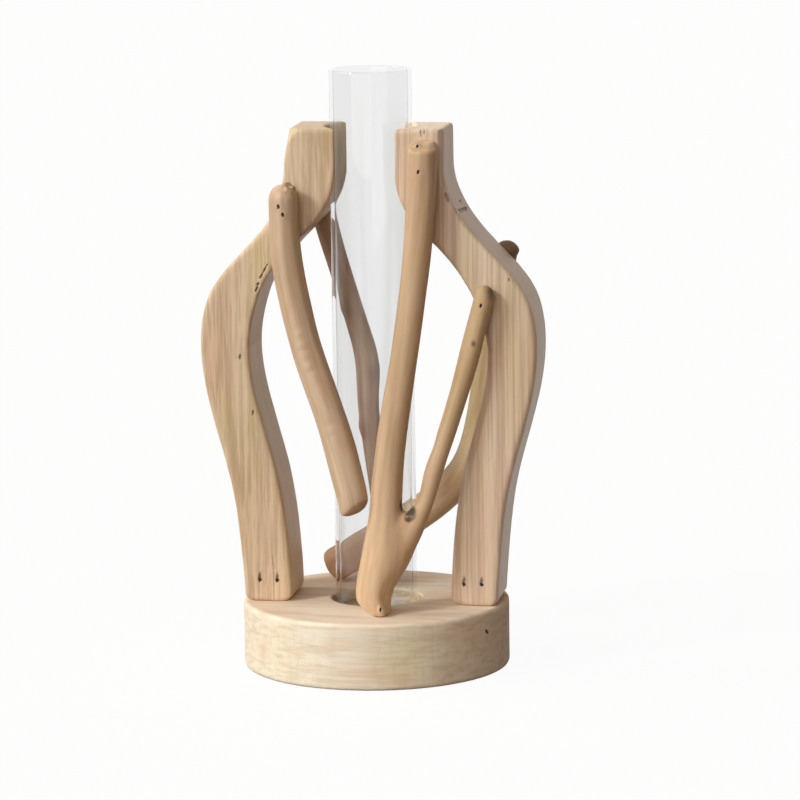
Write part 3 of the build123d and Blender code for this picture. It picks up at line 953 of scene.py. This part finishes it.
def carve_base():
    """The round base, with a dark nick in its side and painted shade in the hollow for the tube."""
    nick_place = np.array((44.4, -20.6, 16.8))
    marks = ((nick_place, -unit(nick_place * (1, 1, 0))),)
    recess_reach = 17.5
    recess_bottom = 15
    surface = Surface(even_copy("base_disc", BASE_VOXEL), marks)
    surface.soften(1.0, rounds=2)
    waves = 0.10 * noise(surface.points, (14, 14, 10), seed=31)
    surface.lift(waves * ramp(surface.high, 0.2, 2.0))
    surface.sink_marks(marks, lean=(0.5, 0.6, -0.6), half_width=0.7, half_height=1.5, depth=0.6)
    points = surface.points
    top = ramp(surface.high, 23.8, 24.3)
    near_axis = np.hypot(surface.across, points[:, 1]) < recess_reach
    # Painted shade in the tube's hollow: its wall and floor are darkened and tinted olive and pink.
    recess_shade = near_axis * (1 - top) * (surface.high > recess_bottom)
    front_zone = blob(points, (18, -46, 12), (16, 20, 20))
    left_zone = blob(points, (-30, -38, 10), (12, 20, 16))
    surface.darken(0.35 * recess_shade)
    surface.tint(
        olive=np.max([0.8 * front_zone, 0.5 * left_zone, recess_shade], axis=0),
        pink=np.maximum(0.35 * top, recess_shade),
    )
    surface.settle("base_disc", "base_wood", base_paint())


# Twigs

TWIG_MARK = {"half_width": 0.46, "half_height": 0.86, "depth": 0.9}


def uneven(surface, routes, seed):
    """Swellings, long flats and fine ridges along a twig's own run; keeps its grain's places."""
    places = along(surface.points, routes)
    write_vectors(surface.mesh, "grain", places)
    swellings = 0.28 * noise(places, (9, 9, 20), seed)
    flats = 0.16 * noise(places, (3.4, 3.4, 24), seed + 1)
    ridges = 0.04 * noise(places, (1.2, 1.2, 9), seed + 2)
    surface.lift(swellings + flats + ridges)


def settle_twig(surface, node):
    """Finishes a twig in its own look."""
    surface.settle(node, "twig_wood", twig_paint(node + "_wood", **TWIG_LOOKS[node]))


def carve_left_twig():
    """The left twig: a round broken top and a foot sawn off at a slant against the stem."""
    marks = brad_marks("left_twig_brads")
    cut = ((-2.0, -25.5, 62.1), (0.60, -0.30, -0.74))
    top_centre = (-29.3, -18.0, 174.4)
    knot = (-25.1, -20.0, 113.2)
    surface = Surface(even_copy("left_twig", TWIG_VOXEL, marks, cuts=(cut,)), marks)
    surface.dome(top_centre, axis=(0, 0, 1), radius=5.2)
    past_cut = (surface.points - cut[0]) @ unit(cut[1])
    surface.soften(ramp(past_cut, -4.5, -0.6), rounds=40)
    surface.soften(0.7, rounds=9)
    uneven(surface, (LEFT_ROUTE,), seed=51)
    points = surface.points
    broken = blob(points, (-26.8, -18.8, 178.6), (4.6, 5.4, 3.2))
    surface.lift(broken * (0.6 + 1.3 * noise(points, 1.3, seed=58)))
    surface.sink_marks(marks, lean=(-0.28, 0, 1), half_width=0.50, half_height=0.86, depth=0.9)
    points = surface.points
    surface.darken(0.7 * broken * ramp(noise(points, 0.9, seed=59), -0.3, 0.5))
    surface.darken(0.7 * blob(points, knot, 1.3))
    surface.darken(0.16 * ramp(past_cut, -0.9, -0.3))
    surface.tint(
        olive=blob(points, (-26.4, -18.5, 177.0), (5, 6, 6)),
        pink=0.5 * ramp(past_cut, -1.2, -0.4),
    )
    settle_twig(surface, "left_twig")


def shape_fork(surface):
    """One broad trunk below the fork, a narrow rounded foot, a round limb end and a slanted stem end."""
    foot_planes = (
        ((2.2, -29.6, 26.4), (-0.68, 0, -0.73)),
        ((6.9, -29.6, 24.6), (-0.40, 0, -0.92)),
        ((7.0, -29.6, 24.52), (0, 0, -1)),
    )
    waist_trim = 2.7
    limb_end = (43.8, -16.1, 140.6)
    stem_end = ((23.9, -18.0, 196.2), (0.72, -0.10, 0.69))
    surface.soften(band(surface.high, rise=(26, 31), fall=(58, 64)), rounds=24)
    surface.fill_hollows(band(surface.high, rise=(24, 28), fall=(54, 59)), rounds=150)
    low = 1 - ramp(surface.high, 36, 40)
    waist = 0.65 + 0.35 * ramp(surface.high, 24, 30)
    waist = waist * (1 - ramp(surface.high, 31, 42))
    surface.points[:, 0] -= waist_trim * waist * ramp(surface.across, 5.5, 12)
    for place, facing in foot_planes:
        surface.shave(place, facing, low)
    surface.dome(limb_end, axis=(0.25, 0.03, 0.97), radius=2.9)
    surface.soften(0.8 * (1 - ramp(surface.high, 25, 34)), rounds=4)
    surface.shave(*stem_end, ramp(surface.high, 187, 190))
    surface.soften(0.7, rounds=8)
    uneven(surface, (STEM_ROUTE, LIMB_ROUTE[:-2]), seed=41)
    surface.soften(band(surface.high, rise=(36, 44), fall=(62, 70)), rounds=16)


def tone_fork(surface, torn):
    """The dark crotch, torn stem end, painted shade on the right side of the limb's round end, the knot,
    and the twig's olive and pink zones.
    """
    # Patchy darker places in the crotch.
    crotch_dark_places = (
        ((14.2, -24.0, 64.0), (1.7, 6.0, 4.2)),
        ((18.0, -24.5, 60.8), (3.4, 7.0, 4.6)),
        ((16.9, -25.0, 59.6), (3.0, 7.0, 3.0)),
    )
    # Painted shade: the right side of the limb's round end, which turns away from the light, is darkened.
    limb_tip_shade = ((46.6, -18.4, 141.6), (3.4, 6.0, 5.0))
    knot = ((40.2, -20.2, 122.8), (1.3, 1.8, 1.9))
    points = surface.points
    crotch_dark = np.max([blob(points, place, reach) for place, reach in crotch_dark_places], axis=0)
    crotch_dark = crotch_dark * (1 + 0.6 * noise(points, (0.9, 0.9, 2.2), seed=47))
    surface.darken(0.92 * ramp(crotch_dark, 0.15, 0.62))
    surface.darken(0.8 * torn * ramp(noise(points, 0.8, seed=49), -0.9, 0.1))
    surface.darken(0.85 * blob(points, *limb_tip_shade))
    surface.darken(0.9 * blob(points, *knot))
    stem = blob(points, (14, -20, 105), (9, 9, 60))
    limb = ramp(surface.across, 24, 30) * (1 - ramp(surface.high, 146, 150))
    trunk = blob(points, (12, -28, 48), (8, 9, 16))
    surface.tint(olive=np.maximum(0.7 * stem, 0.55 * limb), pink=0.5 * trunk)


def carve_forked_twig():
    """The forked twig, thickened in its fork, in its foot and over the foot brad's head."""
    marks = brad_marks("forked_twig_brads")
    web = ((13.2, -24.2, 57.6), (11.0, -26.0, 47.0), 4.3, 6.3)
    foot_fill = ((5.8, -27.8, 36.0), (5.05, -28.85, 28.3), 8.15, 7.7)
    head_cover = ((8.4, -33.4, 28.2), (9.2, -34.2, 26.8), 3.0, 2.9)
    foot_front = (8.4, -39.0, 28.2)
    piece = even_copy("forked_twig", TWIG_VOXEL, marks, swellings=(web, foot_fill, head_cover))
    surface = Surface(piece, marks)
    shape_fork(surface)
    end_grain = ramp(surface.high, 193, 197)
    torn = blob(surface.points, (25.6, -19.5, 194.6), (2.6, 6.0, 2.6))
    surface.lift((0.25 * end_grain + 0.5 * torn) * noise(surface.points, 0.9, seed=48))
    # The first brad is the foot's, whose mark is cut on the thickened wood in front of it
    surface.sink_marks(marks[1:], lean=(0.22, 0, 1), **TWIG_MARK)
    nearest = np.linalg.norm(surface.points - foot_front, axis=1).argmin()
    foot_marks = ((surface.points[nearest].copy(), np.array((0, 1.0, 0))),)
    surface.sink_marks(foot_marks, lean=(0.1, 0, 1), half_width=0.42, half_height=1.0, depth=0.8)
    tone_fork(surface, torn)
    settle_twig(surface, "forked_twig")


def carve_back_left_twig():
    """The thin brown twig behind the left neck, with knots."""
    marks = brad_marks("back_left_twig_brads")
    knot_places = (
        ((-13.5, 16.0, 130.0), (4.0, 5.0, 6.0)),
        ((-4.0, 19.0, 106.0), (4.0, 5.0, 7.0)),
        ((-8.5, 20.5, 84.0), (4.0, 5.0, 6.0)),
    )
    surface = Surface(even_copy("back_left_twig", TWIG_VOXEL, marks), marks)
    surface.soften(0.7, rounds=8)
    knots = np.max([blob(surface.points, place, reach) for place, reach in knot_places], axis=0)
    surface.lift(1.1 * knots)
    uneven(surface, (BACK_LEFT_ROUTE,), seed=61)
    surface.sink_marks(marks, lean=(0.2, 0, 1), **TWIG_MARK)
    surface.darken(0.3 * knots)
    settle_twig(surface, "back_left_twig")


def carve_back_right_twig():
    """The thick bent twig behind the right board, with a round end painted dark as shade, painted shadow
    of the right board on its upper part, and a rounded foot.
    """
    marks = brad_marks("back_right_twig_brads")
    tip_centre = (47.2, 16.5, 150.9)
    foot_stain = ((-17.8, 26.0, 30.0), (1.8, 7.0, 5.0))
    surface = Surface(even_copy("back_right_twig", TWIG_VOXEL, marks), marks)
    surface.dome(tip_centre, axis=(0.21, -0.03, 0.98), radius=4.8)
    surface.soften(1 - ramp(surface.across, -21, -14), rounds=24)
    surface.soften(0.7, rounds=8)
    uneven(surface, (BACK_RIGHT_ROUTE,), seed=71)
    surface.sink_marks(marks, lean=(0.2, 0, 1), **TWIG_MARK)
    # Painted shade: the round end at the top is darkened and tinted pink.
    tip_shade = ramp(surface.high, 144, 151)
    behind_tube = 1 - ramp(surface.across, 0, 14)
    # Painted shadow of the right board: the twig's upper part is made darker and olive.
    board_shadow = 0.8 * ramp(surface.high, 70, 90)
    surface.darken(0.7 * tip_shade)
    surface.darken(0.5 * blob(surface.points, *foot_stain))
    surface.darken(0.15 * board_shadow)
    surface.tint(olive=board_shadow, pink=np.maximum(tip_shade, 0.9 * behind_tube))
    settle_twig(surface, "back_right_twig")


# Glass tube

def turned(name, outline):
    """Object turned from an outline of radius and height, closed at the axis."""
    work = bmesh.new()
    rings = []
    angles = [2 * math.pi * step / TUBE_TURNS for step in range(TUBE_TURNS)]
    for radius, height in outline:
        if radius < SAME_PLACE:
            rings.append([work.verts.new((0, 0, height * MM))])
            continue
        rings.append([
            work.verts.new((radius * math.cos(a) * MM, radius * math.sin(a) * MM, height * MM))
            for a in angles
        ])
    for lower, upper in zip(rings, rings[1:]):
        for step in range(TUBE_TURNS):
            corner = (step + 1) % TUBE_TURNS
            if len(lower) == 1:
                work.faces.new((lower[0], upper[corner], upper[step]))
            elif len(upper) == 1:
                work.faces.new((lower[step], lower[corner], upper[0]))
            else:
                work.faces.new((lower[step], lower[corner], upper[corner], upper[step]))
    bmesh.ops.recalc_face_normals(work, faces=work.faces)
    mesh = bpy.data.meshes.new(name)
    work.to_mesh(mesh)
    work.free()
    mesh.shade_smooth()
    return link(bpy.data.objects.new(name, mesh))


def arc(centre, radius, start, end):
    """Points of an arc from one angle to another, in degrees."""
    angles = [math.radians(start + (end - start) * step / ARC_STEPS) for step in range(ARC_STEPS + 1)]
    return [(centre[0] + radius * math.cos(a), centre[1] + radius * math.sin(a)) for a in angles]


def blow_tube():
    """Clear tube with a flat bottom, a round heel and a fire-polished rim."""
    low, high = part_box("test_tube")
    radius = high.x / MM
    foot = low.z / MM
    rim = high.z / MM
    rim_round = TUBE_WALL / 2
    inner = radius - TUBE_WALL
    inner_heel = TUBE_HEEL - TUBE_WALL / 2
    outline = [(0, foot)]
    outline += arc((radius - TUBE_HEEL, foot + TUBE_HEEL), TUBE_HEEL, -90, 0)
    outline += arc((radius - rim_round, rim - rim_round), rim_round, 0, 180)
    outline += arc((inner - inner_heel, foot + TUBE_FLOOR + inner_heel), inner_heel, 0, -90)
    outline += [(0, foot + TUBE_FLOOR)]
    piece = turned("glass_tube", outline)
    piece.data.materials.append(glass_paint())
    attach(piece, "tube")
    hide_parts("test_tube")


# Stage

def towards(azimuth, elevation):
    """Direction from the vase towards an azimuth from the front and an elevation, in degrees."""
    azimuth = math.radians(azimuth)
    elevation = math.radians(elevation)
    return Vector((
        math.sin(azimuth) * math.cos(elevation),
        -math.cos(azimuth) * math.cos(elevation),
        math.sin(elevation),
    ))


def set_floor():
    """Pale floor that keeps a soft shadow."""
    mesh = bpy.data.meshes.new("floor")
    signs = ((-1, -1), (1, -1), (1, 1), (-1, 1))
    corners = [(x * FLOOR_HALF_METRES, y * FLOOR_HALF_METRES, 0) for x, y in signs]
    mesh.from_pydata(corners, [], [(0, 1, 2, 3)])
    floor = link(bpy.data.objects.new("floor", mesh))
    paint = Paint("floor")
    seen = paint.seen_ray()
    colour = paint.mix(seen, FLOOR_BOUNCE, FLOOR_SEEN)
    paint.put(paint.shader, {"Base Color": colour, "Roughness": 1.0, "Specular IOR Level": 0.0})
    white = paint.node("ShaderNodeEmission", {"Color": WHITE, "Strength": 1.0})
    share = paint.math("MULTIPLY", seen, FLOOR_WHITE)
    paint.put(paint.output, {"Surface": paint.blend(share, paint.shader, white)})
    mesh.materials.append(paint.material)


def set_lamps():
    """A small lamp from the front left, and broad ones from the left and the front."""
    for name, (azimuth, elevation, strength, spread, colour) in LAMPS.items():
        data = bpy.data.lights.new(name, "SUN")
        data.energy = strength
        data.color = colour
        data.angle = math.radians(spread)
        lamp = link(bpy.data.objects.new(name, data))
        lamp.rotation_euler = towards(azimuth, elevation).to_track_quat("Z", "Y").to_euler()


def set_world():
    """Weak warm light all round, which shows as white."""
    world = bpy.data.worlds.new("studio")
    world.use_nodes = True
    bpy.context.scene.world = world
    world.node_tree.nodes.clear()
    nodes = Nodes(world.node_tree)
    fill = nodes.node("ShaderNodeBackground", {"Color": FILL_COLOUR, "Strength": FILL_STRENGTH})
    white = nodes.node("ShaderNodeBackground", {"Color": WHITE, "Strength": 1.0})
    light = nodes.blend(nodes.seen_ray(), fill, white)
    nodes.node("ShaderNodeOutputWorld", {"Surface": light})


def set_camera():
    """Camera at the photograph's angle, with the vase a little left of and above its middle."""
    azimuth = math.radians(CAMERA_AZIMUTH)
    roll = math.radians(CAMERA_ROLL)
    view = towards(CAMERA_AZIMUTH, CAMERA_ELEVATION)
    level = Vector((math.cos(azimuth), math.sin(azimuth), 0))
    upright = view.cross(level)
    right = level * math.cos(roll) + upright * math.sin(roll)
    up = upright * math.cos(roll) - level * math.sin(roll)
    target = Vector((CAMERA_SIDESTEP, 0, CAMERA_TARGET_HEIGHT))
    place = target + view * CAMERA_DISTANCE
    aim = target + right * AIM_RIGHT - up * AIM_DOWN
    back = (place - aim).normalized()
    right = up.cross(back).normalized()
    up = back.cross(right)
    data = bpy.data.cameras.new("camera")
    data.sensor_width = CAMERA_SENSOR
    data.lens = CAMERA_LENS
    data.clip_end = CAMERA_CLIP_METRES
    camera = link(bpy.data.objects.new("camera", data))
    turn = Matrix((right, up, back)).transposed().to_4x4()
    camera.matrix_world = Matrix.Translation(place * MM) @ turn
    bpy.context.scene.camera = camera


def paint_brads():
    """Gives the brads, which keep their CAD shape, their steel."""
    steel = steel_paint()
    for node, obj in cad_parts.items():
        if node.endswith("_brads"):
            obj.data.materials.clear()
            obj.data.materials.append(steel)


def set_rendering():
    """Plain colours, and enough bounces for the glass."""
    scene = bpy.context.scene
    scene.view_settings.view_transform = "Standard"
    scene.cycles.max_bounces = GLASS_BOUNCES
    scene.cycles.transmission_bounces = GLASS_BOUNCES
    scene.cycles.glossy_bounces = GLOSSY_BOUNCES


carve_left_board()
carve_right_board()
carve_base()
carve_left_twig()
carve_forked_twig()
carve_back_left_twig()
carve_back_right_twig()
blow_tube()
paint_brads()
set_floor()
set_lamps()
set_world()
set_camera()
set_rendering()
